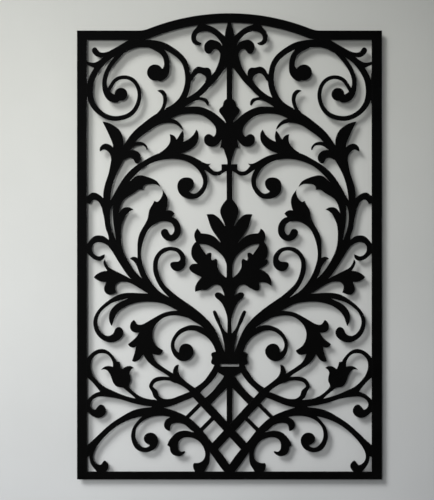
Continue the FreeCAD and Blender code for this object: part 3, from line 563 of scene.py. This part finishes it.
view = {"centreX": -0.025, "centreZ": -0.331, "frontY": -0.016, "distance": 2.5,
        "pictureHeight": 1.0, "sensor": 36}


def makeCamera():
    data = bpy.data.cameras.new("camera")
    data.sensor_width = view["sensor"]
    data.lens = view["sensor"] * view["distance"] / view["pictureHeight"]
    camera = bpy.data.objects.new("camera", data)
    scene.collection.objects.link(camera)
    camera.location = (view["centreX"], view["frontY"] - view["distance"], view["centreZ"])
    camera.rotation_euler = (math.radians(90), 0, 0)
    scene.camera = camera


makeCamera()
print("camera placed")


# studio: pale wall behind, grey floor below, a large soft light from the upper left

studio = {"wallY": 0.0006, "floorZ": -0.93, "reach": 4.0, "wallTop": 2.0, "cells": 4,
          "floorGlow": (0.42, 0.42, 0.415)}
wallLook = {
    "blotchSize": 0.30, "peelSize": 0.009, "squeeze": (1, 1, 0.16),  # brushed up and down
    "dark": (0.60, 0.61, 0.59), "light": (0.64, 0.65, 0.63), "span": (0.3, 0.7),
    "roughness": (0.75, 0.9), "peelDepth": 0.0004, "peelStrength": 0.35,
    "metallic": 0.0, "specular": 0.2,
}
# painted shade: the wall's colour is made darker and bluer towards the floor and warmer towards the
# top, standing in for how the light falls off and tints
paintedWallShade = {"heights": (-0.85, 0.0), "low": (0.915, 0.92, 0.955), "high": (1.0, 0.995, 0.965)}
floorLook = {
    "blotchSize": 0.4, "peelSize": 0.01,
    "dark": (0.13, 0.13, 0.128), "light": (0.15, 0.15, 0.147), "span": (0.3, 0.7),
    "roughness": (0.8, 0.9), "peelDepth": 0.0003, "peelStrength": 0.05,
    "metallic": 0.0, "specular": 0.3,
}


# painted shade: multiplies the wall's colour by a height ramp, darker and cooler towards the floor
def paintShadeTowardsFloor(material):
    nodes, links = material.node_tree.nodes, material.node_tree.links
    shader = nodes["Principled BSDF"]
    paint = shader.inputs["Base Color"].links[0].from_socket
    coords = nodes.new("ShaderNodeTexCoord")
    axes = nodes.new("ShaderNodeSeparateXYZ")
    height = nodes.new("ShaderNodeMapRange")
    height.inputs["From Min"].default_value = paintedWallShade["heights"][0]
    height.inputs["From Max"].default_value = paintedWallShade["heights"][1]
    paintedShadeRamp = nodes.new("ShaderNodeValToRGB")
    paintedShadeRamp.color_ramp.elements[0].color = (*paintedWallShade["low"], 1)
    paintedShadeRamp.color_ramp.elements[1].color = (*paintedWallShade["high"], 1)
    shadedPaint = nodes.new("ShaderNodeMix")
    shadedPaint.data_type = "RGBA"
    shadedPaint.blend_type = "MULTIPLY"
    shadedPaint.inputs["Factor"].default_value = 1
    links.new(coords.outputs["Object"], axes.inputs["Vector"])
    links.new(axes.outputs["Z"], height.inputs["Value"])
    links.new(height.outputs["Result"], paintedShadeRamp.inputs["Fac"])
    links.new(paint, shadedPaint.inputs["A"])
    links.new(paintedShadeRamp.outputs["Color"], shadedPaint.inputs["B"])
    links.new(shadedPaint.outputs["Result"], shader.inputs["Base Color"])


def openFromBehind(material):
    nodes, links = material.node_tree.nodes, material.node_tree.links
    side = nodes.new("ShaderNodeNewGeometry")
    clear = nodes.new("ShaderNodeBsdfTransparent")
    choice = nodes.new("ShaderNodeMixShader")
    links.new(side.outputs["Backfacing"], choice.inputs["Fac"])
    links.new(nodes["Principled BSDF"].outputs["BSDF"], choice.inputs[1])
    links.new(clear.outputs["BSDF"], choice.inputs[2])
    links.new(choice.outputs["Shader"], nodes["Material Output"].inputs["Surface"])


def makeStudio():
    reach = studio["reach"]
    nothingSelected()
    bpy.ops.mesh.primitive_grid_add(x_subdivisions=studio["cells"], y_subdivisions=studio["cells"],
                                    size=2 * reach, location=(0, 0, studio["floorZ"]))
    floor = bpy.context.object
    floor.name = "floor"
    paleFloor = speckledFinish("paleFloor", floorLook)
    glow = paleFloor.node_tree.nodes["Principled BSDF"]
    glow.inputs["Emission Color"].default_value = (*studio["floorGlow"], 1)
    glow.inputs["Emission Strength"].default_value = 1  # lifts the floor away from the lamps
    floor.data.materials.append(paleFloor)
    floor.visible_diffuse = False
    floor.visible_glossy = False
    nothingSelected()
    height = studio["wallTop"] - studio["floorZ"]
    bpy.ops.mesh.primitive_grid_add(x_subdivisions=studio["cells"], y_subdivisions=studio["cells"],
                                    size=2 * reach,
                                    location=(0, studio["wallY"], studio["floorZ"] + height / 2),
                                    rotation=(math.radians(90), 0, 0))
    wall = bpy.context.object
    wall.name = "wall"
    wall.scale = (1, height / (2 * reach), 1)
    bpy.ops.object.transform_apply(location=True, rotation=True, scale=True)
    plaster = speckledFinish("paleWall", wallLook)
    # painted shade on the wall, darker and cooler towards the floor
    paintShadeTowardsFloor(plaster)
    openFromBehind(plaster)
    wall.data.materials.append(plaster)
    wall.visible_shadow = False  # seen by the camera alone, so the back of the cover is lit too
    wall.visible_diffuse = False
    wall.visible_glossy = False


softbox = {"from": (-0.84, -1.0, 0.84), "away": 2.8, "size": 2.35, "watts": 12.3,
           "aim": (-0.41, 0, -0.46), "spread": 35}  # degrees
fillLight = {"from": (-0.20, -1.0, 0.12), "away": 3.2, "size": 0.8, "watts": 3.8,
             "aim": (-0.57, 0, -0.44), "spread": 48}
backLight = {"from": (0.62, 1.0, 0.30), "away": 2.6, "size": 2.0, "watts": 52,
             "aim": (0, 0, -0.20), "spread": 70}  # for the views of the back
sky = {"colour": (0.94, 0.97, 1.0), "strength": 0.14, "backdrop": 0.62}


def makeLamp(name, lamp):
    data = bpy.data.lights.new(name, "AREA")
    data.shape = "DISK"
    data.size = lamp["size"]
    data.energy = lamp["watts"]
    data.spread = math.radians(lamp["spread"])
    light = bpy.data.objects.new(name, data)
    scene.collection.objects.link(light)
    centre = Vector((view["centreX"], 0, view["centreZ"]))
    light.location = centre + Vector(lamp["from"]) * lamp["away"]
    beam = light.location - Vector(lamp["aim"])
    light.rotation_euler = beam.to_track_quat("Z", "Y").to_euler()


def makeSky():
    world = bpy.data.worlds.new("studioSky")
    world.use_nodes = True
    nodes, links = world.node_tree.nodes, world.node_tree.links
    nodes["Background"].inputs["Color"].default_value = (*sky["colour"], 1)
    seen = nodes.new("ShaderNodeLightPath")  # the backdrop looks paler than the light it gives
    level = nodes.new("ShaderNodeMapRange")
    level.inputs["To Min"].default_value = sky["strength"]
    level.inputs["To Max"].default_value = sky["backdrop"]
    links.new(seen.outputs["Is Camera Ray"], level.inputs["Value"])
    links.new(level.outputs["Result"], nodes["Background"].inputs["Strength"])
    scene.world = world
    scene.view_settings.view_transform = "Standard"


makeStudio()
makeLamp("softbox", softbox)
makeLamp("fillLight", fillLight)
makeLamp("backLight", backLight)
makeSky()
print("studio lit")
